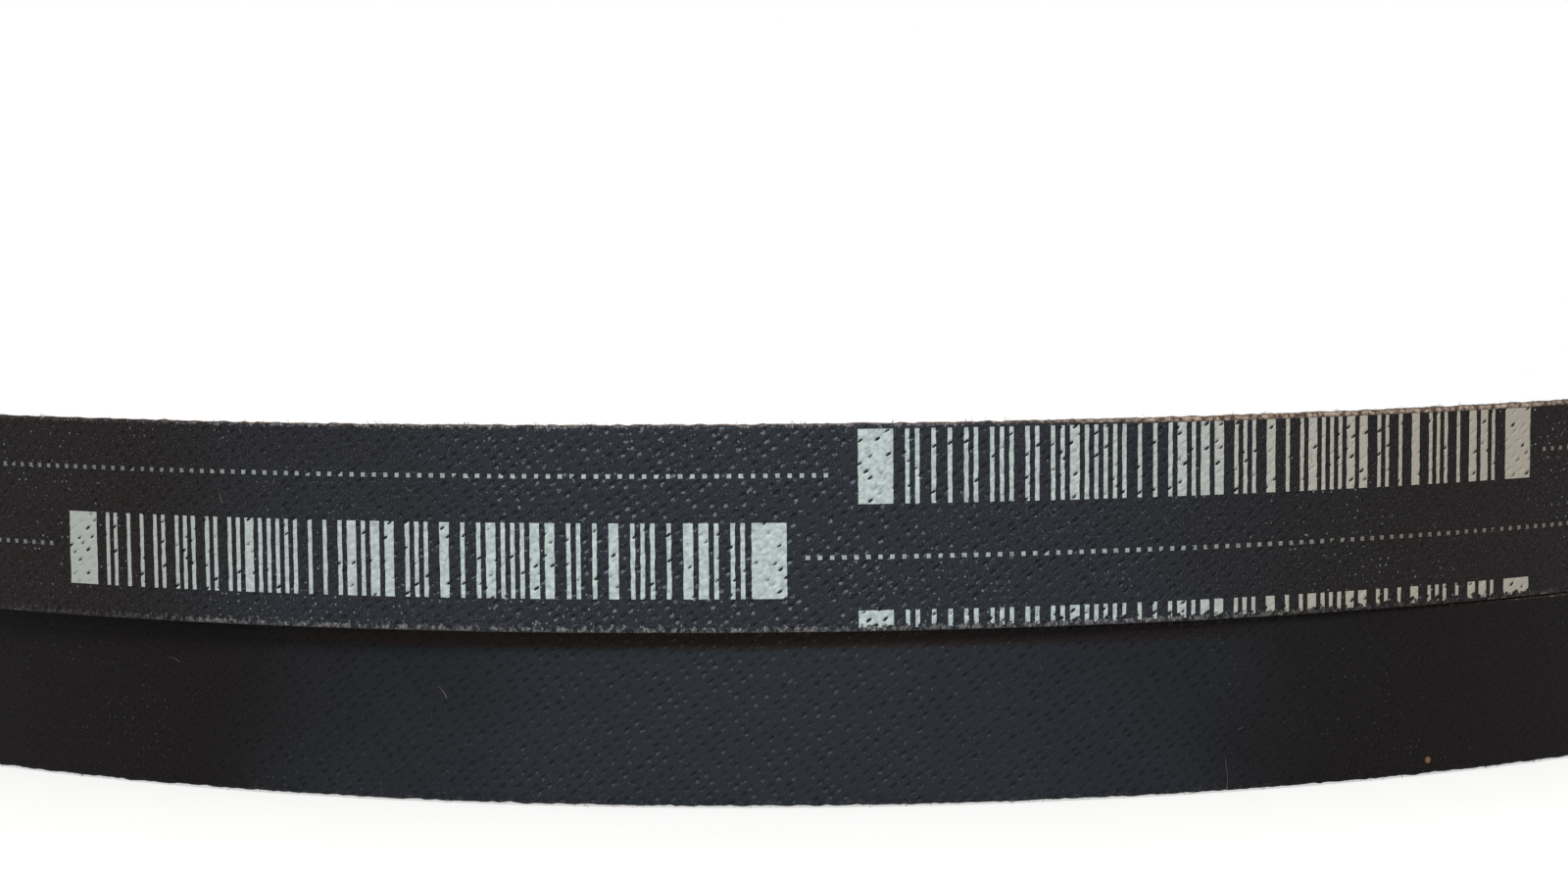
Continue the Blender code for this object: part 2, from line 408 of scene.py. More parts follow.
    rough = addNode(material, "MapRange", {
        0: grain, (1, 2): cloth["grainReach"], (3, 4): cloth["rough"]}).outputs[0]
    tuft = addNode(material, "TexNoise", noise_dimensions="2D", inputs={
        "Vector": uv, "Scale": 1 / cloth["frayTuft"], "Detail": 4.0}).outputs[0]
    if inked:
        bare = addNode(material, "Math", {0: grain, 1: inkLook["voidGrain"], 2: pit},
                       operation="MULTIPLY_ADD").outputs[0]
        bare = addNode(material, "Math", {0: thread, 1: inkLook["voidThread"], 2: bare},
                       operation="MULTIPLY_ADD").outputs[0]
        shed = addNode(material, "MapRange", {
            0: fromLow, (1, 2): inkLook["shedBand"], 3: inkLook["shedMost"], 4: 0.0}).outputs[0]
        bare = addNode(material, "Math", {0: tuft, 1: shed, 2: bare}, operation="MULTIPLY_ADD").outputs[0]
        bare = addNode(material, "MapRange", {
            0: bare, 1: inkLook["voids"] - inkLook["voidSoft"],
            2: inkLook["voids"] + inkLook["voidSoft"]}).outputs[0]
        blot = addNode(material, "TexNoise", noise_dimensions="2D", inputs={
            "Vector": uv, "Scale": 1 / inkLook["blot"], "Detail": 2.0}).outputs[0]
        blot = addNode(material, "MapRange", {0: blot, (1, 2): inkLook["blotShows"]}).outputs[0]
        ink = addNode(material, "Mix", data_type="RGBA", inputs={
            0: blot, 6: toLinear(inkLook["ink"]), 7: toLinear(inkLook["thin"])}).outputs[2]
        side = addNode(material, "MapRange", {0: swing, (1, 2): inkLook["shadedInkSides"]}).outputs[0]
        shadedInk = addNode(material, "Mix", data_type="RGBA", inputs={
            0: side, 6: toLinear(inkLook["cool"]), 7: toLinear(inkLook["warm"])}).outputs[2]
        ink = addNode(material, "Mix", {0: paintedSheen, 6: shadedInk, 7: ink}, data_type="RGBA").outputs[2]
        # thin ink shows less where the painted sheen falls off, and full ink stays
        thin = addNode(material, "MapRange", {0: paintedSheen, 3: inked ** 4, 4: inked}).outputs[0]
        ink = addNode(material, "Mix", {0: thin, 6: colour, 7: ink}, data_type="RGBA").outputs[2]
        colour = addNode(material, "Mix", {0: bare, 6: ink, 7: colour}, data_type="RGBA").outputs[2]

    # the cut edge: threads stand bare in a narrow band
    band = addNode(material, "MapRange", interpolation_type="SMOOTHSTEP", inputs={
        0: fromTop, 1: 0.0, 2: cloth["frayBand"], 3: cloth["frayThick"], 4: 0.0}).outputs[0]
    lowBand = addNode(material, "MapRange", interpolation_type="SMOOTHSTEP", inputs={
        0: fromLow, 1: 0.0, 2: cloth["lowFrayBand"], 3: cloth["lowFrayThick"], 4: 0.0}).outputs[0]
    band = addNode(material, "Math", {0: band, 1: lowBand}, operation="MAXIMUM").outputs[0]
    frayed = addNode(material, "Math", {0: tuft, 1: band}, operation="ADD").outputs[0]
    frayed = addNode(material, "MapRange", interpolation_type="SMOOTHSTEP", inputs={
        0: frayed, (1, 2): cloth["frayShows"], 3: 0.0, 4: cloth["frayMost"] * look["fray"]}).outputs[0]
    # the fray and the cut are painted fainter and darker where the painted sheen falls off, a painted shade
    edgeInSheen = addNode(material, "MapRange", {
        0: paintedSheen, 1: 0.0, 2: cloth["fraySheen"], 3: cloth["frayLeast"], 4: 1.0}).outputs[0]
    frayed = addNode(material, "Math", {0: frayed, 1: edgeInSheen}, operation="MULTIPLY").outputs[0]
    flock = addNode(material, "MapRange", {0: crumb, (1, 2): cloth["frayFlock"]}).outputs[0]
    frayColour = addNode(material, "Mix", data_type="RGBA", inputs={
        0: flock, (6, 7): map(toLinear, cloth["frayColours"])}).outputs[2]
    colour = addNode(material, "Mix", {0: frayed, 6: colour, 7: frayColour}, data_type="RGBA").outputs[2]
    height = addNode(material, "Math", {0: frayed, 1: cloth["frayHeight"], 2: height},
                     operation="MULTIPLY_ADD").outputs[0]

    # stretches of the upper edge where the knife laid the tan yarn bare
    bared = addNode(material, "Math", {0: turn, 1: cloth["baredFrom"]}, operation="SUBTRACT").outputs[0]
    bared = addNode(material, "Math", {0: bared}, operation="SINE").outputs[0]
    bared = addNode(material, "MapRange", {
        0: bared, (1, 2): cloth["baredShows"], 3: 0.0, 4: look["fray"]}).outputs[0]
    wide = addNode(material, "Math", {0: bared, 1: cloth["rimWidens"], 2: cloth["rimWidth"]},
                   operation="MULTIPLY_ADD").outputs[0]
    rim = addNode(material, "Math", {0: wide, 1: fromTop}, operation="SUBTRACT").outputs[0]
    rim = addNode(material, "MapRange", {0: rim, (1, 2): cloth["rimSoft"]}).outputs[0]
    bared = addNode(material, "Math", {0: bared, 1: rim}, operation="MULTIPLY").outputs[0]
    mottle = addNode(material, "MapRange", {0: tuft, (1, 2): cloth["tanMottle"]}).outputs[0]
    tan = addNode(material, "Mix", data_type="RGBA", inputs={
        0: mottle, (6, 7): map(toLinear, cloth["tanColours"])}).outputs[2]
    colour = addNode(material, "Mix", {0: bared, 6: colour, 7: tan}, data_type="RGBA").outputs[2]

    # the cut itself, of one colour above and another below, painted dark in places at random and where the
    # painted sheen falls off
    cut = addNode(material, "MapRange", {0: fromEdge, (1, 2): cloth["cutBand"]}).outputs[0]
    shown = addNode(material, "Math", {0: tuft, 1: edgeInSheen}, operation="MULTIPLY").outputs[0]
    upward = addNode(material, "MapRange", {0: across, 1: -1.0, 2: 1.0}).outputs[0]
    cutColour = addNode(material, "Mix", data_type="RGBA", inputs={
        0: upward, 6: toLinear(look["lowCut"]), 7: toLinear(look["cut"])}).outputs[2]
    cutColour = addNode(material, "Mix", {0: shown, 6: toLinear(cloth["cutDark"]), 7: cutColour},
                        data_type="RGBA").outputs[2]
    colour = addNode(material, "Mix", {0: cut, 6: colour, 7: cutColour}, data_type="RGBA").outputs[2]

    # the lower belt, the one with a painted shadow, also has a speck of old resin
    if look["paintedShadow"]:
        gap = addNode(material, "VectorMath", {0: uv, 1: cloth["spot"]},
                      operation="DISTANCE").outputs["Value"]
        spot = addNode(material, "MapRange", {
            0: gap, (1, 2): cloth["spotEdge"], 3: 0.0, 4: cloth["spotMost"]}).outputs[0]
        colour = addNode(material, "Mix", {0: spot, 6: colour, 7: toLinear(cloth["spotColour"])},
                         data_type="RGBA").outputs[2]
    bump = addNode(material, "Bump", {"Height": height, "Distance": mm, "Strength": 1.0})
    links = material.node_tree.links
    links.new(colour, shader.inputs["Base Color"])
    links.new(rough, shader.inputs["Roughness"])
    links.new(bump.outputs[0], shader.inputs["Normal"])
    shader.inputs["Specular IOR Level"].default_value = cloth["specular"]
    return material


# Threads: bare cotton and polyester yarn, torn at the cut edge. Dry, dull and uneven, from tan to off-white.
yarnLook = {
    "dark": "#4b433d",
    "pale": "#a79d93",
    "blotch": 1.25,
    "blotchShows": (0.35, 0.7),
    "rough": (0.75, 0.95),
    "specular": 0.2,
}


def threadMaterial():
    material, shader = newMaterial("frayed_yarn")
    look = yarnLook
    uv = addNode(material, "UVMap", uv_map="beltMm").outputs["UV"]
    blotch = addNode(material, "TexNoise", noise_dimensions="2D", inputs={
        "Vector": uv, "Scale": 1 / look["blotch"], "Detail": 2.0}).outputs[0]
    blotch = addNode(material, "MapRange", {0: blotch, (1, 2): look["blotchShows"]}).outputs[0]
    colour = addNode(material, "Mix", data_type="RGBA", inputs={
        0: blotch, 6: toLinear(look["dark"]), 7: toLinear(look["pale"])}).outputs[2]
    rough = addNode(material, "MapRange", {0: blotch, (3, 4): look["rough"]}).outputs[0]
    links = material.node_tree.links
    links.new(colour, shader.inputs["Base Color"])
    links.new(rough, shader.inputs["Roughness"])
    shader.inputs["Specular IOR Level"].default_value = look["specular"]
    return material


# Flank rubbers: chloroprene, cut from a sleeve and ground to the V. Ground rubber is matt and dark grey,
# with fine drag lines along the belt. The compression rubber is filled with short fibre, which shows as pale
# flecks.
rubberLook = {
    "tension_rubber": {"dark": "#141416", "light": "#232326", "flecks": 0.0},
    "cushion_rubber": {"dark": "#171413", "light": "#292422", "flecks": 0.1},
    "compression_rubber": {"dark": "#131315", "light": "#222225", "flecks": 0.55},
}
# What all the rubbers share. Real drag lines and fibres are too fine to show, so both are drawn coarser.
groundRubber = {
    "dragLine": (9.0, 0.12, 1.0),
    "dragHeight": 0.05,
    "cloud": 6.0,
    "cloudReach": (0.2, 0.8),
    "tone": (0.12, 0.42),
    "fleckCell": (1.1, 0.45, 1.0),
    "fleckSize": (0.08, 0.16),  # in cells
    "fleckColour": "#5d5852",
    "rough": (0.55, 0.8),
    "specular": 0.3,
}


def rubberMaterial(name, look):
    material, shader = newMaterial(name)
    ground = groundRubber
    uv = addNode(material, "UVMap", uv_map="beltMm").outputs["UV"]
    drawn = addNode(material, "Mapping", {"Vector": uv, "Scale": ground["dragLine"]},
                    vector_type="TEXTURE").outputs[0]
    drag = addNode(material, "TexNoise", noise_dimensions="2D", inputs={
        "Vector": drawn, "Scale": 1.0, "Detail": 4.0}).outputs[0]
    cloud = addNode(material, "TexNoise", noise_dimensions="2D", inputs={
        "Vector": uv, "Scale": 1 / ground["cloud"], "Detail": 4.0}).outputs[0]
    tone = addNode(material, "Math", {0: drag, 1: cloud}, operation="MULTIPLY").outputs[0]
    tone = addNode(material, "MapRange", {0: tone, (1, 2): ground["tone"]}).outputs[0]
    colour = addNode(material, "Mix", data_type="RGBA", inputs={
        0: tone, 6: toLinear(look["dark"]), 7: toLinear(look["light"])}).outputs[2]
    spread = addNode(material, "Mapping", {"Vector": uv, "Scale": ground["fleckCell"]},
                     vector_type="TEXTURE").outputs[0]
    cells = addNode(material, "TexVoronoi", voronoi_dimensions="2D", inputs={
        "Vector": spread, "Scale": 1.0, "Randomness": 1.0})
    fleck = addNode(material, "MapRange", {
        0: cells.outputs["Distance"], (1, 2): ground["fleckSize"], 3: look["flecks"], 4: 0.0}).outputs[0]
    colour = addNode(material, "Mix", {0: fleck, 6: colour, 7: toLinear(ground["fleckColour"])},
                     data_type="RGBA").outputs[2]
    bump = addNode(material, "Bump", {"Height": drag, "Distance": ground["dragHeight"] * mm})
    rough = addNode(material, "MapRange", {
        0: cloud, (1, 2): ground["cloudReach"], (3, 4): ground["rough"]}).outputs[0]
    links = material.node_tree.links
    links.new(colour, shader.inputs["Base Color"])
    links.new(rough, shader.inputs["Roughness"])
    links.new(bump.outputs[0], shader.inputs["Normal"])
    shader.inputs["Specular IOR Level"].default_value = ground["specular"]
    return material


# Cord: polyester, twisted from plies and dipped to bond. A dull tan cord with slanting plies.
cordSkin = {
    "dark": "#6d5a45",
    "pale": "#a8957a",
    "lay": math.radians(35),  # slant of the plies
    "ply": 0.2 * math.pi,  # width of one ply
    "waver": 0.6,
    "height": 0.12,
    "rough": 0.7,
}


def cordMaterial():
    material, shader = newMaterial("dipped_polyester_cord")
    look = cordSkin
    uv = addNode(material, "UVMap", uv_map="beltMm").outputs["UV"]
    turned = addNode(material, "Mapping", {"Vector": uv, "Rotation": (0, 0, look["lay"])},
                     vector_type="TEXTURE").outputs[0]
    # a band of the wave is a tenth of pi wide at a scale of one
    ply = addNode(material, "TexWave", {
        "Vector": turned, "Scale": 0.1 * math.pi / look["ply"], "Distortion": look["waver"]}).outputs["Fac"]
    colour = addNode(material, "Mix", data_type="RGBA", inputs={
        0: ply, 6: toLinear(look["dark"]), 7: toLinear(look["pale"])}).outputs[2]
    bump = addNode(material, "Bump", {"Height": ply, "Distance": look["height"] * mm})
    links = material.node_tree.links
    links.new(colour, shader.inputs["Base Color"])
    links.new(bump.outputs[0], shader.inputs["Normal"])
    shader.inputs["Roughness"].default_value = look["rough"]
    return material


twills = {belt: twillMaterial(f"rubberised_twill_{belt}", look) for belt, look in twillLook.items()}
barPrint = twillMaterial("screen_print_on_twill", twillLook["upper"], inkLook["bars"])
dotPrint = twillMaterial("thin_screen_print_on_twill", twillLook["upper"], inkLook["dots"])
yarn = threadMaterial()
rubbers = {ply: rubberMaterial(f"ground_{ply}", look) for ply, look in rubberLook.items()}
cord = cordMaterial()
print("materials made")


# The printed stamp: bars of no meaning and dotted lines, in rows that the sleeve was cut through.
# The bars are drawn by lot, on modules that divide the belt's length evenly. Lengths along the belt are in
# modules, and low, high and the place of the dots are in millimetres.
printLook = {
    "repeats": 5,
    "modules": 1885,  # to a repeat, about 0.09 mm each
    "endBar": 32,
    "bars": (4, 4, 4, 9),
    "gaps": (5, 5, 5, 11, 11),
    "dot": 4,
    "dotPitch": 11,
    "dotsFrom": 17,  # between a bar block and the dotted line
    "rows": [
        {"start": 88, "block": 693, "low": 1.9, "high": 8.05, "dots": 4.3},
        {"start": -687, "block": 710, "low": -5.8, "high": 0.45, "dots": -2.45},
        {"start": 88, "block": 693, "low": -9.0, "high": -6.85, "dots": None},
    ],
    "seed": 41,
    "rough": 0.06,  # how far the ink's edges wander
    "roughSize": 0.35,
    "roughRoom": 0.4,  # the most that they wander, of the way to the next edge
    "clear": 2.5,  # modules round an edge of the ink that even rings keep clear of
}


def stampBlock(look, length):
    draw = random.Random(look["seed"])
    inked = [False] * length
    place = look["endBar"]
    inked[:place] = [True] * place
    last = length - look["endBar"]
    inked[last:] = [True] * look["endBar"]
    while True:
        place += draw.choice(look["gaps"])
        bar = draw.choice(look["bars"])
        if place + bar > last - look["gaps"][0]:
            return inked
        inked[place:place + bar] = [True] * bar
        place += bar


# For each row, the modules of one repeat that a bar or a dot covers
def stampRows(look):
    rows = []
    for row in look["rows"]:
        bars = np.zeros(look["modules"], bool)
        dots = np.zeros(look["modules"], bool)
        bars[(row["start"] + np.arange(row["block"])) % look["modules"]] = stampBlock(look, row["block"])
        if row["dots"] is not None:
            first = row["start"] + row["block"] + look["dotsFrom"]
            last = row["start"] + look["modules"] - look["dotsFrom"] - look["dot"]
            for place in range(first, last, look["dotPitch"]):
                dots[(place + np.arange(look["dot"])) % look["modules"]] = True
        rows.append((bars, dots))
    return rows


stampedRows = stampRows(printLook)
module = 2 * math.pi * belts["upper"]["radius"] / printLook["repeats"] / printLook["modules"]

# Cover cloth: its back, two cut edges and the hidden inner face
coverLook = {
    "depth": 1.0,
    "step": 0.5,  # between rings of points
    "row": 0.6,
    "corner": (0.03, 0.10, 0.25),  # depths of the points round a cut corner
    "cornerIn": (0.16, 0.05, 0.0),
    "backIn": 0.05,  # from the rounded corner to the first row of the flat back
    "ragged": 0.12,  # how far the cut edge wanders
    "raggedSize": 0.8,
    "finer": 2.3,  # a second, finer wandering and its share
    "finerShare": 0.5,
    "settled": 0.125,  # how far the two belts' facing edges sag towards each other
    "settledRagged": 0.018,
    "facing": {"upper": -1, "lower": 1},
}


# Where rings of points stand along an arc: at every change of the print, and at even steps between
def coverRings(belt, ends):
    even = np.linspace(*ends, max(2, round((ends[1] - ends[0]) / coverLook["step"])))
    if belt["name"] != "upper":
        return even
    changes = np.zeros(printLook["modules"], bool)
    for bars, dots in stampedRows:
        changes |= (bars != np.roll(bars, 1)) | (dots != np.roll(dots, 1))
    numbers = np.arange(math.ceil(ends[0] / module), math.floor(ends[1] / module) + 1)
    edges = numbers[changes[numbers % printLook["modules"]]] * module
    edges = edges[(edges > ends[0] + module) & (edges < ends[1] - module)]
    spare = np.abs(even[1:-1, None] - edges[None]).min(1) > printLook["clear"] * module
    return np.sort(np.concatenate([ends, edges, even[1:-1][spare]]))


def coverLevels(belt):
    half = belt["half"] - coverLook["cornerIn"][0] - coverLook["backIn"]
    fixed = [-half, half]
    if belt["name"] == "upper":
        for row in printLook["rows"]:
            fixed += [row["low"], row["high"]]
            if row["dots"] is not None:
                dot = printLook["dot"] * module / 2
                fixed += [row["dots"] - dot, row["dots"] + dot]
    fixed = sorted(level for level in fixed if abs(level) <= half)
    levels = []
    for low, high in zip(fixed, fixed[1:]):
        steps = max(1, round((high - low) / coverLook["row"]))
        levels += [low + (high - low) * step / steps for step in range(steps)]
    return np.array(levels + [fixed[-1]])


# 1 for a bar, 2 for a dot and 0 for bare cloth
def inkSlots(along, across):
    slots = np.zeros(along.shape, int)
    numbers = np.floor(along / module).astype(int) % printLook["modules"]
    for row, (bars, dots) in zip(printLook["rows"], stampedRows):
        slots[bars[numbers] & (across > row["low"]) & (across < row["high"])] = 1
        if row["dots"] is not None:
            slots[dots[numbers] & (np.abs(across - row["dots"]) < printLook["dot"] * module / 2)] = 2
    return slots


def wander(places, size):
    return np.array([noise.noise(Vector(place) / (size * mm)) for place in places.reshape(-1, 3)])


def coverStrip(belt, arc):
    rings = coverRings(belt, arcEnds(belt, arc))
    levels = coverLevels(belt)
    half = belt["half"]
    cornerAcross = [half - inward for inward in coverLook["cornerIn"]]
    corner = coverLook["corner"]
    count = len(corner)
    inner = coverLook["depth"]
    depth = np.array([*corner[::-1], *[0.0] * len(levels), *corner, inner, inner])
    innerHalf = halfWidth(belt, inner)
    across = np.array([*[-c for c in cornerAcross[::-1]], *levels, *cornerAcross, innerHalf, -innerHalf])
    steps = np.hypot(np.diff(depth), np.diff(across))
    around = np.concatenate([[0.0], np.cumsum(steps)])
    around -= around[count] - levels[0]
    around = np.append(around, around[-1] + inner)

    along = np.repeat(rings[:, None], len(depth), 1)
    places = onBelt(belt, along, depth, across)
    edges = np.r_[0:count, count + len(levels):2 * count + len(levels) + 2]
    acrossHere = np.repeat(across[None], len(rings), 0)
    size = coverLook["raggedSize"]
    lift = wander(places[:, edges], size).reshape(len(rings), -1)
    finer = wander(places[:, edges], size / coverLook["finer"]).reshape(len(rings), -1)
    lift += coverLook["finerShare"] * finer
    side = np.sign(across[edges])
    facing = side == coverLook["facing"][belt["name"]]
    settled = coverLook["settled"] + lift * coverLook["settledRagged"]
    acrossHere[:, edges] += np.where(facing, settled, lift * coverLook["ragged"]) * side
    slots = np.zeros((len(rings) - 1, len(depth)), int)
    if belt["name"] == "upper":
        middleAlong = (rings[:-1] + rings[1:])[:, None] / 2
        middleAcross = np.append((across[:-1] + across[1:]) / 2, 0.0)[None]
        onBack = np.append((depth[:-1] == 0) & (depth[1:] == 0), False)[None]
        slots = inkSlots(*np.broadcast_arrays(middleAlong, middleAcross)) * onBack
        room = np.minimum(np.diff(rings, prepend=rings[0]), np.diff(rings, append=rings[-1]))[:, None]
        sway = wander(places, printLook["roughSize"]).reshape(along.shape)
        along = along + sway * np.minimum(printLook["rough"], printLook["roughRoom"] * room)
    return strip(belt, along, depth, acrossHere, around, slots)


# Loose ends of yarn: short bent hairs rooted in the cut edges, and a few bits of lint on the back.
# Real fibres are too fine to show, so they are drawn two or three times as thick.
hairLook = {
    "perMm": 1.4,
    "length": (0.15, 0.5),
    "shorter": (0.5, 0.8, 1.0),
    "thick": (0.035, 0.065),
    "tip": 0.35,  # thickness of the tip against the root
    "flat": 0.4,
    "lean": 0.8,
    "curl": 0.5,
    "steps": (0.0, 0.4, 0.75, 1.0),
    "room": 0.4,  # kept clear at the ends of an arc
    "tufts": 0.07,  # tufts to a millimetre
    "tuftHairs": 9,
    "tuftWidth": 0.12,
    "tuftRoom": 1,
    # hairs on the edge that faces the other belt lie flat against the back, and the rest stand free
    "facing": {"outward": (0.4, 1.1), "depth": (-0.02, 0.1), "reach": 0.5, "rise": 0.15, "droop": 0.0,
               "rootIn": 0.05},
    "free": {"outward": (-0.1, 0.5), "depth": (0.0, 0.5), "reach": 1.0, "rise": 1.0, "droop": 0.3,
             "rootIn": 0.12},
}
lintLook = {
    "bits": {"upper": 12, "lower": 4},  # to an arc
    "length": (0.5, 1.3),
    "thick": 0.04,
    "curl": 1.6,
    "steps": 5,
    "off": 0.03,  # how far it lies off the cloth
    "across": 0.8,  # share of the width that it lies on
    "room": 2,
}
# a pale scratch up from the lower edge of the lower belt
scratchLook = {"along": 36.3, "sway": 0.1, "from": -7.2, "step": 0.55, "steps": 6, "thick": 0.05}


def hairStrip(belt, path, thick, slot):
    sides = np.radians([0, 240, 120])
    along, depth, across = (np.array(line) for line in zip(*path))
    taper = np.linspace(1.0, hairLook["tip"], len(path))[:, None] * thick / 2
    ringAlong = along[:, None] + taper * np.cos(sides)
    ringDepth = depth[:, None] - taper * np.sin(sides)
    ringAcross = across[:, None] + taper * hairLook["flat"] * np.cos(sides + 1.0)
    return strip(belt, ringAlong, ringDepth, ringAcross, np.arange(4) * thick, slot)


def edgeHairs(belt, ends, side, draw, slot):
    look = hairLook
    span = ends[1] - ends[0]
    room = look["room"]
    roots = [draw.uniform(ends[0] + room, ends[1] - room) for hair in range(round(span * look["perMm"]))]
    for tuft in range(round(span * look["tufts"])):
        root = draw.uniform(ends[0] + look["tuftRoom"], ends[1] - look["tuftRoom"])
        roots += [draw.gauss(root, look["tuftWidth"]) for hair in range(look["tuftHairs"])]
    way = look["facing"] if side == coverLook["facing"][belt["name"]] else look["free"]
    made = []
    for along in roots:
        length = draw.uniform(*look["length"]) * draw.choice(look["shorter"])
        lean = draw.uniform(-look["lean"], look["lean"])
        outward = draw.uniform(*way["outward"])
        depth = draw.uniform(*way["depth"])
        curl = draw.uniform(-look["curl"], look["curl"])
        path = []
        for step in look["steps"]:
            rise = length * step * (way["rise"] - way["droop"] * step * abs(lean))
            path.append((along + length * (lean * step + curl * step * step),
                         depth - length * outward * step * way["reach"],
                         side * (belt["half"] - way["rootIn"] + rise)))
        made.append(hairStrip(belt, path, draw.uniform(*look["thick"]), slot))
    return made


def lint(belt, ends, draw, slot):
    look = lintLook
    made = []
    for bit in range(look["bits"][belt["name"]]):
        along = draw.uniform(ends[0] + look["room"], ends[1] - look["room"])
        across = draw.uniform(-look["across"], look["across"]) * belt["half"]
        pace = draw.uniform(*look["length"]) / look["steps"]
        turn = draw.uniform(0, math.pi)
        curl = draw.uniform(-look["curl"], look["curl"])
        path = []
        for step in range(look["steps"] + 1):
            path.append((along, -look["off"], across))
            along += pace * math.cos(turn + curl * step / look["steps"])
            across += pace * math.sin(turn + curl * step / look["steps"])
        made.append(hairStrip(belt, path, look["thick"], slot))
    return made


def scratch(belt, slot):
    look = scratchLook
    path = []
    for step in range(look["steps"]):
        path.append((look["along"] + look["sway"] * math.sin(step), 0.0, look["from"] + look["step"] * step))
    return hairStrip(belt, path, look["thick"], slot)


def hairs(belt, arc, slot):
    draw = random.Random(f"{belt['name']} {arc}")
    ends = arcEnds(belt, arc)
    made = []
    for side in (-1, 1):
        made += edgeHairs(belt, ends, side, draw, slot)
    if arc == "near" and belt["name"] == "lower":
        made.append(scratch(belt, slot))
    return made + lint(belt, ends, draw, slot)


for belt in belts.values():
    for arc in arcs:
        skins = [twills[belt["name"]], yarn]
        if belt["name"] == "upper":
            skins[1:1] = [barPrint, dotPrint]
        strips = [coverStrip(belt, arc), *hairs(belt, arc, len(skins) - 1)]
        carry(buildMesh(f"{belt['name']}_twill_back_{arc}", strips, skins), belt, arc, "cover_cloth")
print("cover cloths laid")

# The plies under the cover, from the back inwards, with a fine groove between one and the next
plyLook = {
    "tension_rubber": {"piece": "tension_gum", "from": 1.04, "to": 3.05, "skin": rubbers["tension_rubber"]},
    "cushion_rubber": {"piece": "cushion_gum", "from": 3.09, "to": 5.55, "skin": rubbers["cushion_rubber"]},
    "compression_rubber": {"piece": "fibre_rubber", "from": 5.59, "to": 10.25,
                           "skin": rubbers["compression_rubber"]},
    "base_cloth": {"piece": "base_twill", "from": 10.29, "to": 11.0, "skin": twills["base"]},
}
plyShape = {"step": 1.2, "corner": 0.1}
cordLook = {
    "depth": 3.8,
    "thick": 1.05,
    "pitch": 1.2,
    "rim": 1.3,  # gum on each side of the cords, measured at rimDepth
    "rimDepth": 5.4,
    "floor": 4.85,
    "sides": 8,
    "step": 4.0,
}


def pocketHalf(belt):
    return halfWidth(belt, cordLook["rimDepth"]) - cordLook["rim"]


def plyOutline(belt, ply):
    look = plyLook[ply]
    corner = plyShape["corner"]
    outer, inner = look["from"], look["to"]
    side = [(outer, halfWidth(belt, outer) - corner), (outer + corner, halfWidth(belt, outer + corner)),
            (inner - corner, halfWidth(belt, inner - corner)), (inner, halfWidth(belt, inner) - corner)]
    other = [(depth, -across) for depth, across in side[::-1]]
    outline = [*side, *other]
    if ply == "cushion_rubber":  # a channel for the cords, open towards the back
        pocket = pocketHalf(belt)
        floor = cordLook["floor"]
        outline += [(outer, -pocket), (floor, -pocket), (floor, pocket), (outer, pocket)]
    return np.array(outline)


def plyStrip(belt, arc, ply):
    ends = arcEnds(belt, arc)
    rings = np.linspace(*ends, round((ends[1] - ends[0]) / plyShape["step"]))[:, None]
    depth, across = plyOutline(belt, ply).T
    steps = np.hypot(np.diff(depth, append=depth[0]), np.diff(across, append=across[0]))
    around = np.concatenate([[0.0], np.cumsum(steps)])
    return strip(belt, rings, depth[None], across[None], around)


def cordStrips(belt, arc):
    ends = arcEnds(belt, arc)
    rings = np.linspace(*ends, round((ends[1] - ends[0]) / cordLook["step"]))[:, None]
    turn = np.linspace(0, 2 * math.pi, cordLook["sides"], endpoint=False)[None]
    count = int((2 * pocketHalf(belt) - cordLook["thick"]) / cordLook["pitch"]) + 1
    around = np.linspace(0, math.pi * cordLook["thick"], cordLook["sides"] + 1)
    made = []
    for number in range(count):
        across = (number - (count - 1) / 2) * cordLook["pitch"]
        depth = cordLook["depth"] - cordLook["thick"] / 2 * np.cos(turn)
        made.append(strip(belt, rings, depth, across + cordLook["thick"] / 2 * np.sin(turn), around))
    return made


for belt in belts.values():
    for arc in arcs:
        for ply, look in plyLook.items():
            name = f"{belt['name']}_{look['piece']}_{arc}"
            piece = buildMesh(name, [plyStrip(belt, arc, ply)], [look["skin"]])
            carry(piece, belt, arc, ply)
        piece = buildMesh(f"{belt['name']}_cord_winding_{arc}", cordStrips(belt, arc), [cord])
        carry(piece, belt, arc, "cord_ply")
print("rubber plies and cords laid")

# Stage: a floor of board, painted matt and pale, that keeps a soft shadow, with white all round it
stageLook = {
    "floor": "#b4b4b2",  # as it is seen, and as it lights the belts
    "bounce": "#989898",
    "floorSize": 12.0,  # metres
    "floorDrop": 0.0002,
    "floorRough": 0.9,
    "lift": 0.6,
    "sky": 0.5,
    "white": "#ffffff",
}


# One where the camera looks, or a mirror or glass looks for it
def seenDirectly(material):
    rays = addNode(material, "LightPath")
    seen = addNode(material, "Math", operation="MAXIMUM",
                   inputs={0: rays.outputs["Is Camera Ray"], 1: rays.outputs["Is Glossy Ray"]}).outputs[0]
    return addNode(material, "Math", operation="MAXIMUM",
                   inputs={0: seen, 1: rays.outputs["Is Transmission Ray"]}).outputs[0]


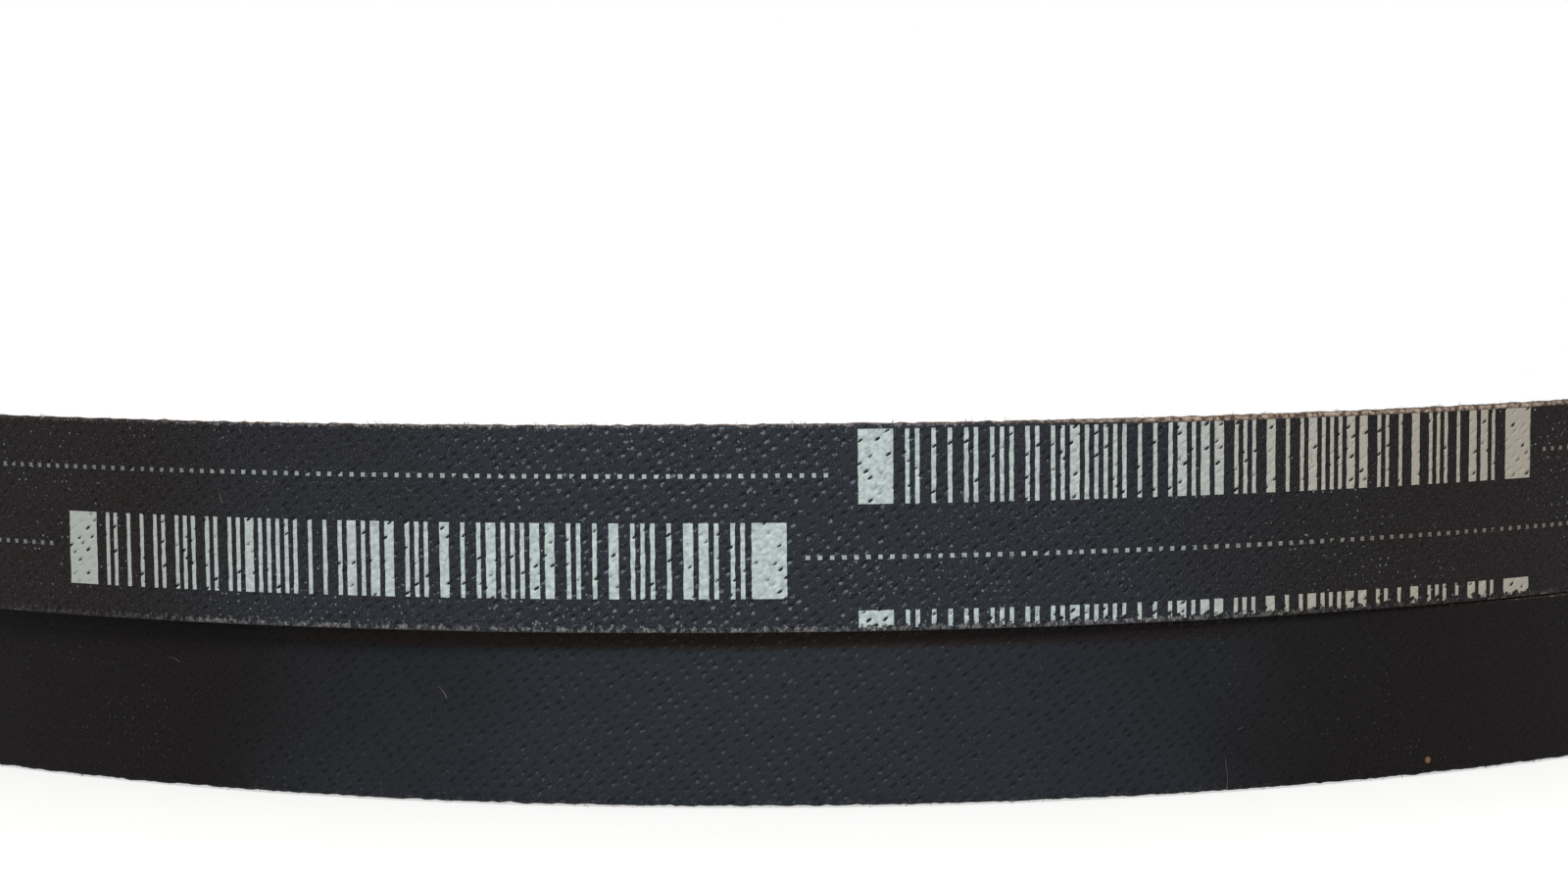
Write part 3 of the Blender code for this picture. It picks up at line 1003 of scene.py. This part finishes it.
def makeFloor():
    half = stageLook["floorSize"] / 2
    mesh = bpy.data.meshes.new("floor")
    corners = [(-half, -half, 0), (half, -half, 0), (half, half, 0), (-half, half, 0)]
    mesh.from_pydata(corners, [], [(0, 1, 2, 3)])
    material, shader = newMaterial("painted_board")
    shader.inputs["Roughness"].default_value = stageLook["floorRough"]
    shader.inputs["Specular IOR Level"].default_value = 0.0
    shader.inputs["Emission Color"].default_value = toLinear(stageLook["white"])
    seen = seenDirectly(material)
    colour = addNode(material, "Mix", data_type="RGBA", inputs={
        0: seen, 6: toLinear(stageLook["bounce"]), 7: toLinear(stageLook["floor"])}).outputs[2]
    glow = addNode(material, "Math", operation="MULTIPLY", inputs={0: seen, 1: stageLook["lift"]}).outputs[0]
    material.node_tree.links.new(colour, shader.inputs["Base Color"])
    material.node_tree.links.new(glow, shader.inputs["Emission Strength"])
    mesh.materials.append(material)
    floor = bpy.data.objects.new("floor", mesh)
    floor.location.z = -stageLook["floorDrop"]
    bpy.context.scene.collection.objects.link(floor)


def makeWorld():
    world = bpy.data.worlds.new("studio")
    bpy.context.scene.world = world
    world.use_nodes = True
    background = world.node_tree.nodes["Background"]
    background.inputs["Color"].default_value = toLinear(stageLook["white"])
    level = addNode(world, "MapRange",
                    inputs={0: seenDirectly(world), 1: 0.0, 2: 1.0, 3: stageLook["sky"], 4: 1.0}).outputs[0]
    world.node_tree.links.new(level, background.inputs["Strength"])


# A softbox in front, from above, and a weaker light from behind. Metres.
lamps = {
    "softbox": {"place": (-0.10, -0.88, 0.62), "aim": (0, -0.10, 0.02), "size": 0.3, "watts": 7.2},
    "back_light": {"place": (0.55, 0.95, 0.85), "aim": (0, 0.10, 0.02), "size": 0.9, "watts": 6.0},
}


def makeLamps():
    for name, look in lamps.items():
        data = bpy.data.lights.new(name, "AREA")
        data.shape = "DISK"
        data.size = look["size"]
        data.energy = look["watts"]
        lamp = bpy.data.objects.new(name, data)
        lamp.location = look["place"]
        lamp.rotation_euler = (Vector(look["aim"]) - lamp.location).to_track_quat("-Z", "Y").to_euler()
        bpy.context.scene.collection.objects.link(lamp)


# The camera stands a little above the belts. The photo is cut out round the near side of the loop, so the
# camera's reach ends inside the loop.
cameraLook = {
    "place": (0.0, -0.37413, 0.05075),
    "turn": -0.074,
    "down": 4.832,
    "roll": -0.465,
    "sensor": 36,
    "focal": 3000 / 1600,  # in widths of the frame
    "nearest": 0.01,
    "reach": 0.34,
}


def makeCamera():
    data = bpy.data.cameras.new("camera")
    data.sensor_width = cameraLook["sensor"]
    data.lens = cameraLook["sensor"] * cameraLook["focal"]
    data.clip_start = cameraLook["nearest"]
    data.clip_end = cameraLook["reach"]
    camera = bpy.data.objects.new("camera", data)
    upright = Euler((math.radians(90 - cameraLook["down"]), 0, math.radians(cameraLook["turn"])))
    turn = upright.to_matrix() @ Matrix.Rotation(math.radians(cameraLook["roll"]), 3, "Z")
    camera.matrix_world = Matrix.Translation(cameraLook["place"]) @ turn.to_4x4()
    bpy.context.scene.collection.objects.link(camera)
    bpy.context.scene.camera = camera


makeFloor()
makeWorld()
makeLamps()
makeCamera()
bpy.context.scene.view_settings.view_transform = "Standard"
print("stage set")
